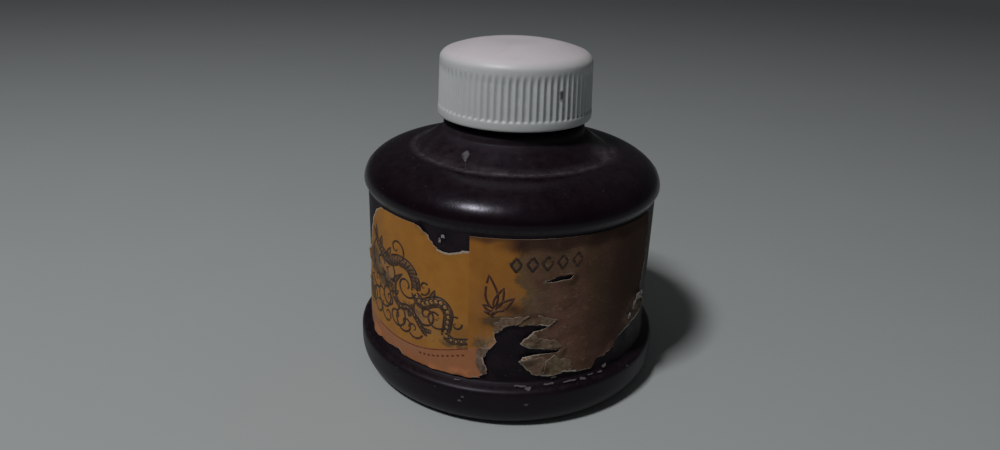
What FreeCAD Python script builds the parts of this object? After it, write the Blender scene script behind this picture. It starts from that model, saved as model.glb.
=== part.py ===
import FreeCAD, Part
import math
import os

# Squat ink bottle with a ribbed screw cap and the remains of its paper label.
# Millimetres. The axis is X = Y = 0, the table is Z = 0, and the front faces -Y.
# Outlines are given as radius and height.

# Bottle, outside
BASE_R = 30.0  # widest radius of the flared base
BASE_WIDE_Z = (4.6, 6.9)  # the base is at its widest between these heights
BASE_TOP_Z = 8.3  # where the base meets the label panel
FOOT_R = (23.6, 26.6)  # flat ring that the bottle stands on, inner and outer radius
PUSH_UP = 1.1  # how far the middle of the underside is raised
PANEL_R = 27.75  # recessed wall that carries the label
PANEL_TOP_Z = 36.6
LIP_R = 28.2  # lower edge of the shoulder, standing out over the panel
LIP_Z = 37.3
SHOULDER_R = 28.5
SHOULDER_Z = 38.0
CREASE_R = 18.8  # ring where the shoulder meets the cone under the neck
CREASE_Z = 44.0
CONE_TOP_R = 13.4
CONE_TOP_Z = 47.5
EDGE_ROUND = 0.6  # small rounding of the bottle's outside corners

# Bottle, inside
WALL = 1.6
FLOOR_Z = PUSH_UP + WALL
CAVITY_BASE_R = BASE_R - WALL
CAVITY_FLOOR_R = 24.4
CAVITY_R = PANEL_R - WALL
CAVITY_CREASE_Z = CREASE_Z - WALL
MOUTH_R = 10.0

# Neck
NECK_R = 11.8
BEAD_R = 13.4
BEAD_TOP_Z = 49.2
MOUTH_Z = 60.2  # top of the lip that the liner seals on
LIP_ROUND = 0.5

# Screw thread, right-hand, of the same trapezoid section on the neck and in the cap
THREAD_PITCH = 4.0
THREAD_DEPTH = 1.05
THREAD_ROOT_HALF = 1.0
THREAD_CREST_HALF = 0.45
THREAD_SINK = 0.2  # how far the thread's foot reaches into the wall behind it
THREAD_GAP = 0.2  # axial gap between the two threads' working faces
NECK_THREAD_Z = 52.0  # height of the thread's middle where it begins
NECK_THREAD_TURNS = 1.5
CAP_THREAD_START_DEG = 180.0
CAP_THREAD_TURNS = 1.25

# Cap
CAP_BOTTOM_Z = 50.25
CAP_BAND_R = 14.55  # plain band round the bottom of the skirt
CAP_BAND_TOP_Z = 52.2
CAP_SIDE_TOP_R = 14.15
CAP_SIDE_TOP_Z = 60.6
CAP_CORNER_Z = 61.75  # where the lines of the side and the dome's edge would meet
CAP_FACE_R = 12.5  # edge of the domed top
CAP_FACE_Z = 62.3
CAP_TOP_Z = 63.8
CAP_CROWN_R = 4.0  # flat middle of the top
CAP_INSIDE_R = 13.2
CAP_INSIDE_TOP_Z = 61.3
CAP_EDGE = 0.25  # small bevel on the skirt's bottom edges
RIB_COUNT = 72
GROOVE_R = 0.5
GROOVE_DEPTH = 0.4
GROOVE_TOP_Z = 60.1

# Liner
LINER_R = 13.1
LINER_Z = (60.25, 61.25)

# Ink
INK_LEVEL_Z = 22.0
INK_GAP = 0.05

# Label: torn paper on the panel. Outlines are (degrees round from the front, height).
PAPER_GAP = 0.03
PAPER_THICKNESS = 0.12
LABEL_TOP_Z = 36.1
LABEL_BOTTOM_Z = 9.0
SEAM_DEG = -13.5
SEAM_GAP_DEG = 0.2
LABEL_LEFT = [
    (SEAM_DEG - SEAM_GAP_DEG, LABEL_BOTTOM_Z),
    (-38, LABEL_BOTTOM_Z),
    (-44, 9.6),
    (-58, LABEL_BOTTOM_Z),
    (-76, 9.4),
    (-78, 13.0),
    (-71, 21.0),
    (-66, 30.0),
    (-62, 34.0),
    (-55, LABEL_TOP_Z),
    (-33, LABEL_TOP_Z),
    (-28, 34.4),
    (-24, 32.6),
    (SEAM_DEG - SEAM_GAP_DEG, 33.2),
]
LABEL_RIGHT = [
    (SEAM_DEG, LABEL_BOTTOM_Z),
    (-6, 10.3),
    (-8, 13.3),
    (-3, 17.2),
    (-2, 19.6),
    (12, 20.2),
    (5, 16.8),
    (20, 14.7),
    (5, 13.3),
    (13, 9.8),
    (35, 9.3),
    (37, 12.1),
    (54, 16.2),
    (64, 17.5),
    (63, 35.0),
    (58, LABEL_TOP_Z),
    (SEAM_DEG, LABEL_TOP_Z),
]
# The same, measured from the middle of the back.
LABEL_BACK = [
    (-66, 14.0),
    (-60, 29.0),
    (-40, 34.0),
    (-22, 30.5),
    (-6, 33.5),
    (14, 26.5),
    (28, 29.0),
    (42, 20.0),
    (34, 10.5),
    (12, LABEL_BOTTOM_Z),
    (-20, 9.5),
    (-48, LABEL_BOTTOM_Z),
]

AXIS = FreeCAD.Vector(0, 0, 1)
CENTRE = FreeCAD.Vector(0, 0, 0)
FULL_TURN = 360.0


def at(r, z):
    """The point at a radius and height in the plane Y = 0."""
    return FreeCAD.Vector(r, 0, z)


class Outline:
    """An outline in the plane Y = 0 that turns about the axis to make a solid."""

    def __init__(self, r, z):
        self.first = at(r, z)
        self.last = self.first
        self.edges = []

    def line(self, r, z):
        end = at(r, z)
        self.edges.append(Part.makeLine(self.last, end))
        self.last = end
        return self

    def quarter(self, corner, end):
        """A quarter of an ellipse whose end tangents meet at the corner."""
        stop = at(*end)
        middle = self.last + stop - at(*corner)
        far, near = self.last, stop
        if (far - middle).Length < (near - middle).Length:
            far, near = near, far
        ellipse = Part.Ellipse(far, near, middle)
        self.edges.append(Part.ArcOfEllipse(ellipse, 0, math.pi / 2).toShape())
        self.last = stop
        return self

    def bend(self, corner, end):
        """A parabola whose end tangents meet at the corner."""
        stop = at(*end)
        parabola = Part.BezierCurve()
        parabola.setPoles([self.last, at(*corner), stop])
        self.edges.append(parabola.toShape())
        self.last = stop
        return self

    def solid(self):
        self.edges.append(Part.makeLine(self.last, self.first))
        face = Part.Face(Part.Wire(self.edges))
        return face.revolve(CENTRE, AXIS, FULL_TURN)


def thread(root_r, crest_r, middle_z, start_deg, turns):
    """A helical ridge of trapezoid section whose foot is sunk into the wall at root_r."""
    outward = 1 if crest_r > root_r else -1
    foot_r = root_r - outward * THREAD_SINK
    corners = [
        (foot_r, -THREAD_ROOT_HALF),
        (crest_r, -THREAD_CREST_HALF),
        (crest_r, THREAD_CREST_HALF),
        (foot_r, THREAD_ROOT_HALF),
    ]
    helices = []
    for r, z in corners:
        helix = Part.makeHelix(THREAD_PITCH, THREAD_PITCH * turns, r)
        helix.translate(FreeCAD.Vector(0, 0, z))
        helices.append(helix)
    faces = []
    for i in range(len(helices)):
        following = helices[(i + 1) % len(helices)]
        faces.extend(Part.makeRuledSurface(helices[i], following).Faces)
    for end in (0, -1):
        points = [helix.Vertexes[end].Point for helix in helices]
        faces.append(Part.Face(Part.makePolygon(points + points[:1])))
    ridge = Part.Solid(Part.Shell(faces))
    if ridge.Volume < 0:
        ridge.reverse()
    ridge.rotate(CENTRE, AXIS, start_deg)
    ridge.translate(FreeCAD.Vector(0, 0, middle_z))
    return ridge


def bottle_outside():
    """The closed outer form, from the raised underside up to the lip."""
    outline = Outline(0, PUSH_UP)
    outline.line(FOOT_R[0] - PUSH_UP, PUSH_UP)
    outline.quarter((FOOT_R[0], PUSH_UP), (FOOT_R[0], 0))
    outline.line(FOOT_R[1], 0)
    outline.quarter((BASE_R, 0), (BASE_R, BASE_WIDE_Z[0]))
    outline.line(BASE_R, BASE_WIDE_Z[1])
    outline.quarter((BASE_R, BASE_TOP_Z - EDGE_ROUND), (BASE_R - EDGE_ROUND, BASE_TOP_Z - EDGE_ROUND))
    outline.line(PANEL_R + EDGE_ROUND, BASE_TOP_Z)
    outline.quarter((PANEL_R, BASE_TOP_Z), (PANEL_R, BASE_TOP_Z + EDGE_ROUND))
    outline.line(PANEL_R, PANEL_TOP_Z)
    outline.line(LIP_R, LIP_Z)
    outline.line(SHOULDER_R, SHOULDER_Z)
    outline.quarter((SHOULDER_R, CREASE_Z), (CREASE_R, CREASE_Z))
    outline.line(CONE_TOP_R, CONE_TOP_Z)
    outline.line(BEAD_R, BEAD_TOP_Z - LIP_ROUND)
    outline.quarter((BEAD_R, BEAD_TOP_Z), (BEAD_R - LIP_ROUND, BEAD_TOP_Z))
    outline.line(NECK_R, BEAD_TOP_Z)
    outline.line(NECK_R, MOUTH_Z - LIP_ROUND)
    outline.quarter((NECK_R, MOUTH_Z), (NECK_R - LIP_ROUND, MOUTH_Z))
    outline.line(0, MOUTH_Z)
    return outline.solid()


def bottle_cavity(gap, top_z):
    """The hollow inside the bottle, shrunk by a gap, up to a height."""
    widest = CAVITY_BASE_R - gap
    wall_r = CAVITY_R - gap
    floor = FLOOR_Z + gap
    outline = Outline(0, floor)
    outline.line(CAVITY_FLOOR_R, floor)
    outline.quarter((widest, floor), (widest, BASE_WIDE_Z[0] + WALL))
    outline.line(widest, BASE_WIDE_Z[1] - EDGE_ROUND)
    outline.line(wall_r, BASE_TOP_Z + WALL)
    if top_z <= PANEL_TOP_Z:
        outline.line(wall_r, top_z)
        outline.line(0, top_z)
        return outline.solid()
    outline.line(wall_r, SHOULDER_Z)
    outline.quarter((wall_r, CAVITY_CREASE_Z), (CREASE_R, CAVITY_CREASE_Z))
    outline.line(MOUTH_R, CONE_TOP_Z)
    outline.line(MOUTH_R, top_z)
    outline.line(0, top_z)
    return outline.solid()


def bottle_body():
    shell = bottle_outside().cut(bottle_cavity(0, MOUTH_Z + WALL))
    ridge = thread(NECK_R, NECK_R + THREAD_DEPTH, NECK_THREAD_Z, 0, NECK_THREAD_TURNS)
    return shell.fuse(ridge)


def cap_blank():
    """The cap without its grooves and thread."""
    outline = Outline(CAP_INSIDE_R + CAP_EDGE, CAP_BOTTOM_Z)
    outline.line(CAP_BAND_R - CAP_EDGE, CAP_BOTTOM_Z)
    outline.line(CAP_BAND_R, CAP_BOTTOM_Z + CAP_EDGE)
    outline.line(CAP_BAND_R, CAP_BAND_TOP_Z)
    outline.line(CAP_SIDE_TOP_R, CAP_SIDE_TOP_Z)
    outline.bend((CAP_SIDE_TOP_R, CAP_CORNER_Z), (CAP_FACE_R, CAP_FACE_Z))
    outline.bend(((CAP_FACE_R + CAP_CROWN_R) / 2, CAP_TOP_Z), (CAP_CROWN_R, CAP_TOP_Z))
    outline.line(0, CAP_TOP_Z)
    outline.line(0, CAP_INSIDE_TOP_Z)
    outline.line(CAP_INSIDE_R, CAP_INSIDE_TOP_Z)
    outline.line(CAP_INSIDE_R, CAP_BOTTOM_Z + CAP_EDGE)
    return outline.solid()


def cap_grooves():
    """Round-bottomed grooves up the skirt, leaning in with its draft."""
    lean_in = (CAP_BAND_R - CAP_SIDE_TOP_R) / (CAP_SIDE_TOP_Z - CAP_BAND_TOP_Z)
    rise = GROOVE_TOP_Z - CAP_BAND_TOP_Z
    direction = FreeCAD.Vector(-lean_in, 0, 1)
    foot = at(CAP_BAND_R - GROOVE_DEPTH + GROOVE_R, CAP_BAND_TOP_Z)
    groove = Part.makeCylinder(GROOVE_R, rise * direction.Length, foot, direction)
    grooves = []
    for i in range(RIB_COUNT):
        copy = groove.copy()
        copy.rotate(CENTRE, AXIS, i * FULL_TURN / RIB_COUNT)
        grooves.append(copy)
    return grooves


def screw_cap():
    """The cap, screwed right down, with its thread just under the neck's."""
    slope = (THREAD_ROOT_HALF - THREAD_CREST_HALF) / THREAD_DEPTH
    radial_play = CAP_INSIDE_R - THREAD_DEPTH - NECK_R
    flank_sum = THREAD_ROOT_HALF + THREAD_CREST_HALF - slope * radial_play
    first_z = NECK_THREAD_Z - flank_sum - THREAD_GAP
    start_z = first_z + THREAD_PITCH * CAP_THREAD_START_DEG / FULL_TURN
    ridge = thread(
        CAP_INSIDE_R, CAP_INSIDE_R - THREAD_DEPTH, start_z, CAP_THREAD_START_DEG, CAP_THREAD_TURNS
    )
    return cap_blank().cut(Part.makeCompound(cap_grooves())).fuse(ridge)


def cap_liner():
    return Part.makeCylinder(LINER_R, LINER_Z[1] - LINER_Z[0], at(0, LINER_Z[0]))


def ink_fill():
    return bottle_cavity(INK_GAP, INK_LEVEL_Z)


def paper(outline, facing_deg):
    """A sheet of paper on the panel, cut to an outline of (degrees, height) points."""
    inner_r = PANEL_R + PAPER_GAP
    outer_r = inner_r + PAPER_THICKNESS
    height = LABEL_TOP_Z - LABEL_BOTTOM_Z
    foot = at(0, LABEL_BOTTOM_Z)
    sheet = Part.makeCylinder(outer_r, height, foot).cut(Part.makeCylinder(inner_r, height, foot))
    points = []
    for degrees, z in outline:
        points.append(FreeCAD.Vector(outer_r * math.sin(math.radians(degrees)), 0, z))
    cutter = Part.Face(Part.makePolygon(points + points[:1]))
    piece = sheet.common(cutter.extrude(FreeCAD.Vector(0, -BASE_R, 0)))
    piece.rotate(CENTRE, AXIS, facing_deg)
    return piece


NODES = {
    "bottle_body": bottle_body(),
    "screw_cap": screw_cap(),
    "cap_liner": cap_liner(),
    "ink_fill": ink_fill(),
    "label_left": paper(LABEL_LEFT, 0),
    "label_right": paper(LABEL_RIGHT, 0),
    "label_back": paper(LABEL_BACK, FULL_TURN / 2),
}

os.makedirs("parts", exist_ok=True)
for name, shape in NODES.items():
    shape.exportStep("parts/" + name + ".step")
    print(name, "solids", len(shape.Solids), "valid", shape.isValid(), "mm3", round(shape.Volume, 1))
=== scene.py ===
import math

import bpy
import numpy as np
from mathutils import Matrix, Vector, geometry, kdtree, noise


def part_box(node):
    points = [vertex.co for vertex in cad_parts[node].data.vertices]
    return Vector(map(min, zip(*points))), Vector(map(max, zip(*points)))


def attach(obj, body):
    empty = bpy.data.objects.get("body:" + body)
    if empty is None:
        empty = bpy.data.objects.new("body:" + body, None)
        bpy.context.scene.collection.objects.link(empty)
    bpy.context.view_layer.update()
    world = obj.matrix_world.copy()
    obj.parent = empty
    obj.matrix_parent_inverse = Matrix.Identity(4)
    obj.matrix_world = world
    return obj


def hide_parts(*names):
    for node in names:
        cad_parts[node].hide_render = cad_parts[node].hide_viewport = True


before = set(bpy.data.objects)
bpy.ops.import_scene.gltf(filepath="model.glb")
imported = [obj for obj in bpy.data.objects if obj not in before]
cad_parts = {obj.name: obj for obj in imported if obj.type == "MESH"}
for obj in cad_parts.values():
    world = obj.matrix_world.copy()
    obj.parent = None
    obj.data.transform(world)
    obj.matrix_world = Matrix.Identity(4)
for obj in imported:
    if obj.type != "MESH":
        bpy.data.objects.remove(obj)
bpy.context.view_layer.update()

# An old plastic ink bottle: dark moulded body, white ribbed screw cap and the worn remains of a
# wrap-around paper label. Lengths are in millimetres until a mesh is made; angles on the label
# are degrees round from the front (-Y) towards +X.

MM = 0.001


def millimetres(node):
    """Lowest and highest corner of a CAD node, in millimetres."""
    low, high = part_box(node)
    return low / MM, high / MM


BODY_HIGH = millimetres("bottle_body")[1]
CAP_LOW, CAP_HIGH = millimetres("screw_cap")
LINER_LOW, LINER_HIGH = millimetres("cap_liner")
INK_LOW, INK_HIGH = millimetres("ink_fill")

# Bottle
BASE_R = BODY_HIGH.x
MOUTH_Z = BODY_HIGH.z
BASE_WIDE_Z = (4.6, 6.9)  # where the base is at its widest
BASE_TOP_Z = 8.3
FOOT_R = (23.6, 26.6)  # the ring that it stands on
PUSH_UP = 1.1
PANEL_R = 27.75  # the recess that the label is glued in
PANEL_TOP_Z = 36.6
LIP = (28.2, 37.3)  # pairs are (radius, height)
SHOULDER = (28.5, 38.0)
CREASE = (18.8, 44.0)
CONE_TOP = (13.4, 47.5)
BEAD_TOP_Z = 49.2
NECK_R = 11.8
MOUTH_R = 10.0
WALL = 1.6
CORNER = 0.6
OUTSIDE_ROUNDING = 0.22  # how far corners are rounded over, outside and inside
INSIDE_ROUNDING = 0.3
MOULD_LINE = 0.06  # how far the line where the mould closed stands out
MOULD_LINE_HALF = 1 / 1.9  # half its width, in degrees
STIPPLES = 90  # small dimples round the foot
STIPPLE_DEPTH = 0.12
BOTTLE_TURNS = 300
STRAY = 0.008  # how far a straight step of a mesh may pass from its curve

# Thread
PITCH = 4.0
THREAD_DEPTH = 0.98
THREAD_HALF = 1.0
NECK_THREAD = (52.0, 0.0, 1.5)  # height of its middle at the start, start in turns, turns
CAP_THREAD = (52.533, 0.5, 1.25)

# Cap
CAP_R = CAP_HIGH.x
CAP_SIDE_TOP = (14.15, 60.6)
CAP_CORNER_Z = 61.75
CAP_FACE = (12.5, 62.3)  # rim of the domed top
CAP_CROWN_R = 4.0  # flat middle of it
CAP_BAND_TOP_Z = 51.85
CAP_INSIDE_R = 13.2
CAP_WALL_R = CAP_INSIDE_R + 0.6  # everything outside this is the outer face of the skirt
CAP_INSIDE_TOP_Z = LINER_HIGH.z + 0.05
RIBS = 72
RIB_DEPTH = 0.35
RIB_TOP_Z = 59.8
CAP_SPOT_GROOVE = -11.1  # the groove that holds a dark spot of dried ink, counted from +X
CAP_SPOT_Z = 56.3

# Liner and ink
LINER_EDGE = 0.2
MENISCUS = 0.8

# Paper
PAPER = 0.12
PAPER_GAP = 0.03
PAPER_GRID = 0.3  # spacing of the points of a piece of paper, and of a peeled flap
FLAP_GRID = 0.22
BUCKLE = 0.035  # half of how far the glued paper stands off the panel in places
CURL = 0.42  # how far a torn edge curls up, and how far in from the edge that begins
CURL_REACH = 1.6
FRAY_REACH = 0.4
INK_THICK = 0.015
INK_GAP = 0.006  # between the paper and the first layer of ink, and between layers
UNPRINTED = 0.3  # ink is lost this near to a torn edge
SEAM_DEG = -13.5


# ---- outlines

class Profile:
    """A line of (radius, height) points drawn from point to point."""

    def __init__(self, r, z):
        self.points = [(r, z)]

    def line(self, r, z):
        self.points.append((r, z))
        return self

    def quarter(self, corner, end):
        """A quarter ellipse from the last point, whose end tangents meet at the corner."""
        start = np.array(self.points[-1])
        corner, end = np.array(corner), np.array(end)
        centre = start + end - corner
        for turn in np.linspace(0, math.pi / 2, 25)[1:]:
            point = centre + (start - centre) * math.cos(turn) + (end - centre) * math.sin(turn)
            self.points.append(tuple(point))
        return self


def lengths_along(points):
    """How far along a line each of its points stands."""
    steps = np.sqrt((np.diff(points, axis=0) ** 2).sum(1))
    return np.r_[0, np.cumsum(steps)]


def evenly(points, step):
    """The same line with its points a step apart."""
    points = np.array(points, float)
    along = lengths_along(points)
    count = max(2, int(round(along[-1] / step)) + 1)
    return resampled(points, along, count)


def resampled(points, along, count):
    """Evenly spaced points on a line, whose own points stand at the lengths along it."""
    where = np.linspace(0, along[-1], count)
    return np.stack([np.interp(where, along, column) for column in points.T], 1)


def softened(points, reach, step=0.08):
    """Rounds a line's corners over about reach millimetres. Its ends stay."""
    points = evenly(points, step)
    half = int(3 * reach / step)
    weights = np.exp(-0.5 * (np.arange(-half, half + 1) * step / reach) ** 2)
    weights /= weights.sum()
    before = 2 * points[0] - points[half:0:-1]
    after = 2 * points[-1] - points[-2:-half - 2:-1]
    padded = np.r_[before, points, after]
    return np.stack([np.convolve(column, weights, "valid") for column in padded.T], 1)


def thinned(points, tolerance, longest):
    """Drops points that a straight step would pass within the tolerance of.

    longest is a function of (radius, height) that limits the length of a step there."""
    kept = [0]
    while kept[-1] < len(points) - 1:
        start = kept[-1]
        stop = start + 1
        limit = longest(*points[start])
        while stop + 1 < len(points):
            chord = points[stop + 1] - points[start]
            length = np.hypot(*chord)
            between = points[start + 1:stop + 1] - points[start]
            off = np.abs(between[:, 0] * chord[1] - between[:, 1] * chord[0]) / max(length, 1e-9)
            if length > limit or off.max() > tolerance:
                break
            stop += 1
        kept.append(stop)
    return points[kept]


# ---- meshes

def smoothstep(low, high, value):
    """0 below the low end and 1 above the high end, with a smooth rise between them."""
    t = np.clip((value - low) / (high - low), 0, 1)
    return t * t * (3 - 2 * t)


def hump(distance, width):
    """1 at no distance, falling away smoothly over a width."""
    return np.exp(-(distance / width) ** 2)


def most(*values):
    """The largest of several arrays, point by point."""
    return np.maximum.reduce(np.broadcast_arrays(*values))


def once_round(count):
    """Evenly spaced angles once round, in radians."""
    return np.linspace(0, 2 * math.pi, count, endpoint=False)


def from_front(r, angle, z):
    """Points at radii, angles in radians round from the front, and heights."""
    return np.stack([r * np.sin(angle), -r * np.cos(angle), z], -1)


def rounded(vertices):
    """Radius, angle from +X in radians and height of each vertex."""
    x, y, z = vertices.T
    return np.hypot(x, y), np.arctan2(y, x), z


def grain(points, scale, seed, octaves=3):
    """Smooth noise from about -1 to 1 at each point, with features about scale across."""
    shift = Vector((seed * 17.3, seed * 5.1, seed * 9.7))
    values = [noise.fractal(Vector(p) / scale + shift, 1.0, 2.0, octaves) for p in points]
    return np.array(values)


def make_object(name, vertices, faces, material, colours=None, sharp=None):
    """A smooth shaded mesh. colours are painted on its vertices; sharp is an angle in degrees."""
    mesh = bpy.data.meshes.new(name)
    mesh.from_pydata((np.asarray(vertices) * MM).tolist(), [], faces)
    mesh.validate()
    mesh.shade_smooth()
    for label, values in (colours or {}).items():
        layer = mesh.color_attributes.new(label, "FLOAT_COLOR", "POINT")
        rgba = np.ones((len(vertices), 4))
        rgba[:, :values.shape[1]] = values
        layer.data.foreach_set("color", rgba.ravel())
    if sharp:
        mesh.set_sharp_from_angle(angle=math.radians(sharp))
    mesh.materials.append(material)
    return in_scene(bpy.data.objects.new(name, mesh))


def in_scene(thing):
    bpy.context.scene.collection.objects.link(thing)
    return thing


def lathe(profile, angles, shape=None, closed=False):
    """Vertices and faces of a profile turned about the axis.

    A point on the axis is one vertex. shape(r, z, angle) returns moved radii and heights."""
    rows, turns = len(profile), len(angles)
    r, z = (np.repeat(column[:, None], turns, 1) for column in profile.T)
    a = np.repeat(np.array(angles)[None, :], rows, 0)
    if shape:
        r, z = shape(r, z, a)
    grid = np.stack([r * np.cos(a), r * np.sin(a), z], -1)
    vertices, index = [], np.zeros((rows, turns), int)
    for i in range(rows):
        if profile[i, 0] < 1e-6:
            index[i] = len(vertices)
            vertices.append(grid[i, 0])
        else:
            index[i] = len(vertices) + np.arange(turns)
            vertices.extend(grid[i])
    faces = []
    for i in range(rows if closed else rows - 1):
        k = (i + 1) % rows
        for j in range(turns):
            n = (j + 1) % turns
            corners = [index[i, j], index[i, n], index[k, n], index[k, j]]
            face = [int(c) for c in dict.fromkeys(corners)]
            if len(face) > 2:
                faces.append(face)
    return np.array(vertices), faces


def screw_ridge(z, angle, run, half, lead=0.12):
    """How far a thread stands out, 0 to 1, at heights and angles round the axis.

    run is the height of the thread's middle where it begins, that place in turns, and its turns.
    Its ends sink in over lead of a turn."""
    start_z, start, turns = run
    height = np.zeros_like(z)
    for lap in range(3):
        along = (angle / (2 * math.pi) - start) % 1.0 + lap
        middle = start_z + PITCH * along
        ends = smoothstep(0, lead, along) * smoothstep(0, lead, turns - along)
        flank = 1 - smoothstep(0.42, 1.0, np.abs(z - middle) / half)
        height = np.maximum(height, flank * ends)
    return height


# ---- materials

class Shader:
    """A node material on a Principled shader, with short calls for the nodes it is made of."""

    def __init__(self, name):
        self.material = bpy.data.materials.new(name)
        self.material.use_nodes = True
        self.tree = self.material.node_tree
        self.surface = self.tree.nodes["Principled BSDF"]

    def feed(self, socket, value):
        """Links a socket to another, or sets it to a number, a vector or a colour."""
        if isinstance(value, bpy.types.NodeSocket):
            self.tree.links.new(value, socket)
        elif socket.type == "RGBA":
            socket.default_value = (*value, 1)
        else:
            socket.default_value = value

    def node(self, kind, values, **settings):
        made = self.tree.nodes.new("ShaderNode" + kind)
        for key, value in settings.items():
            setattr(made, key, value)
        for key, value in values.items():
            self.feed(made.inputs[key], value)
        return made

    def texture(self, kind, size_mm, stretch, **values):
        """A texture of object position, stretched so that it runs finer along some axes."""
        place = self.node("TexCoord", {}).outputs["Object"]
        place = self.node("Mapping", {"Vector": place, "Scale": stretch}).outputs["Vector"]
        return self.node(kind, {"Vector": place, "Scale": 1 / (size_mm * MM), **values}).outputs

    def noise(self, size_mm, detail=4.0, rough=0.55, stretch=(1, 1, 1)):
        """Noise from 0 to 1 whose features are about size_mm across."""
        return self.texture("TexNoise", size_mm, stretch, Detail=detail, Roughness=rough)["Fac"]

    def spots(self, size_mm):
        """Distance to scattered points, about size_mm apart."""
        return self.texture("TexVoronoi", size_mm, (1, 1, 1))["Distance"]

    def between(self, value, low, high, to_low=0.0, to_high=1.0):
        values = {"Value": value, "From Min": low, "From Max": high,
                  "To Min": to_low, "To Max": to_high}
        return self.node("MapRange", values).outputs["Result"]

    def patches(self, low, high, *shape):
        """Noise of a size, detail, roughness and stretch, from 0 at its low value to 1 at its high."""
        return self.between(self.noise(*shape), low, high)

    def broken(self, mask, spread, low, high, *shape):
        """A painted mask whose edge is broken up by noise, over a spread either way."""
        uneven = self.between(self.noise(*shape), 0.2, 0.8, -spread, spread)
        return self.between(self.plus(mask, uneven), low, high)

    def times(self, a, b):
        return self.node("Math", {0: a, 1: b}, operation="MULTIPLY").outputs[0]

    def plus(self, a, b):
        return self.node("Math", {0: a, 1: b}, operation="ADD").outputs[0]

    def mix(self, share, first, second):
        """A colour between two colours, each a socket or three numbers."""
        return self.node("Mix", {"Factor": share, 6: first, 7: second}, data_type="RGBA").outputs[2]

    def over(self, colour, mask, strength, second):
        """The colour with a second one laid over it where a mask is."""
        return self.mix(self.times(mask, strength), colour, second)

    def painted(self, label):
        """The red, green and blue of a colour attribute, as three values."""
        colour = self.node("Attribute", {}, attribute_name=label).outputs["Color"]
        return list(self.node("SeparateColor", {"Color": colour}).outputs)[:3]

    def set(self, name, value):
        self.feed(self.surface.inputs[name], value)

    def finish(self, colour, roughness, *bumps):
        """Sets the surface. Each bump is a height and the depth in millimetres that it stands for."""
        self.set("Base Color", colour)
        self.set("Roughness", roughness)
        stack = {}
        for height, depth_mm in bumps:
            values = {"Height": height, "Distance": depth_mm * MM, "Strength": 1.0, **stack}
            stack["Normal"] = self.node("Bump", values).outputs["Normal"]
        for name, value in stack.items():
            self.set(name, value)
        return self.material


def bottle_material():
    """Satin purple-black polyethylene: hazed, with dust and a painted highlight along the crease, dust and
    a painted sheen on the cone, rubbed bright at its edges.
    """
    m = Shader("bottle_plastic")
    wear, glue, top = m.painted("zones")
    crease, dust_and_sheen, shaded = m.painted("dust")
    haze = m.patches(0.35, 0.75, 9, 5, 0.6)
    dust = m.times(top, m.patches(0.42, 0.78, 1.6, 6, 0.7))
    specks = m.times(m.between(m.spots(1.3), 0.1, 0.04), m.patches(0.5, 0.62, 6))
    rubbed = m.times(wear, m.patches(0.42, 0.66, 1.1, 5, 0.7))
    residue = m.times(glue, m.patches(0.47, 0.6, 3.2, 6, 0.68))
    # The crease mask is dust and a painted highlight, brightest at the front-left where the key light
    # glints.
    dust_and_highlight = m.times(crease, m.patches(0.3, 0.62, 1.4, 5, 0.7))
    # A painted sheen over the left of the cone, and a faint dusty haze over the shoulder top.
    dust_and_sheen_patches = m.times(dust_and_sheen, m.patches(0.3, 0.7, 3, 5, 0.6))
    colour = m.mix(haze, (0.006, 0.0023, 0.0048), (0.0095, 0.0046, 0.0072))
    colour = m.over(colour, dust, 0.1, (0.08, 0.06, 0.07))
    colour = m.over(colour, dust_and_sheen_patches, 0.4, (0.06, 0.047, 0.056))
    colour = m.over(colour, residue, 0.35, (0.03, 0.018, 0.02))
    colour = m.over(colour, rubbed, 0.45, (0.075, 0.062, 0.062))
    colour = m.over(colour, dust_and_highlight, 0.85, (0.15, 0.128, 0.138))
    colour = m.over(colour, specks, 0.6, (0.23, 0.21, 0.19))
    scratches = m.patches(0.55, 0.75, 0.35, 2, 0.5, (1, 1, 0.06))
    rough = m.plus(m.between(haze, 0, 1, 0.23, 0.28), m.times(scratches, 0.05))
    rough = m.plus(rough, m.times(m.plus(dust, dust_and_sheen_patches), 0.12))
    rough = m.plus(rough, m.times(m.plus(m.times(residue, 0.5), m.plus(dust_and_highlight, shaded)), 0.3))
    m.set("IOR", 1.5)
    m.set("Specular IOR Level", 0.26)
    m.set("Specular Tint", (0.86, 0.87, 1.0))
    return m.finish(colour, m.plus(rough, m.times(rubbed, 0.12)), (m.noise(7, 2), 0.08),
                    (m.noise(0.7, 3), 0.008), (scratches, 0.005), (residue, 0.012))


def cap_material():
    """White polypropylene: grey soiling and painted shade low in the grooves, a top painted lighter, fine
    scratches and a slight waxiness.
    """
    m = Shader("cap_plastic")
    dirt_and_shade, spot, face = m.painted("zones")
    mottle = m.noise(5, 5, 0.6)
    # The cooler grey of the sides and the lighter pink of the top are painted shade and light on one white
    # plastic.
    colour = m.mix(mottle, (0.575, 0.605, 0.6), (0.635, 0.655, 0.65))
    colour = m.over(colour, face, 0.9, (0.76, 0.715, 0.735))
    # The grooves are darkened by soiling and painted shade, most on the side away from the light.
    grime_and_shade = m.times(dirt_and_shade, m.patches(0.3, 0.7, 1.5, 5, 0.65))
    colour = m.over(colour, grime_and_shade, 0.58, (0.225, 0.285, 0.26))
    smudge = m.times(face, m.patches(0.52, 0.72, 3.5, 6, 0.7))
    colour = m.over(colour, smudge, 0.16, (0.5, 0.46, 0.44))
    dark = m.broken(spot, 0.35, 0.3, 0.75, 0.7, 4, 0.7)
    colour = m.over(colour, dark, 0.94, (0.03, 0.032, 0.026))
    scratches = m.patches(0.58, 0.75, 0.3, 2, 0.5, (0.08, 1, 1))
    rough = m.plus(m.between(mottle, 0.3, 0.7, 0.38, 0.5), m.times(scratches, 0.08))
    m.set("Subsurface Weight", 0.12)
    m.set("Subsurface Radius", (0.0016, 0.0015, 0.0013))
    m.set("Subsurface Scale", 1.0)
    return m.finish(colour, rough, (m.noise(4, 2), 0.04), (m.noise(0.25, 2), 0.006), (scratches, 0.004))


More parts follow.
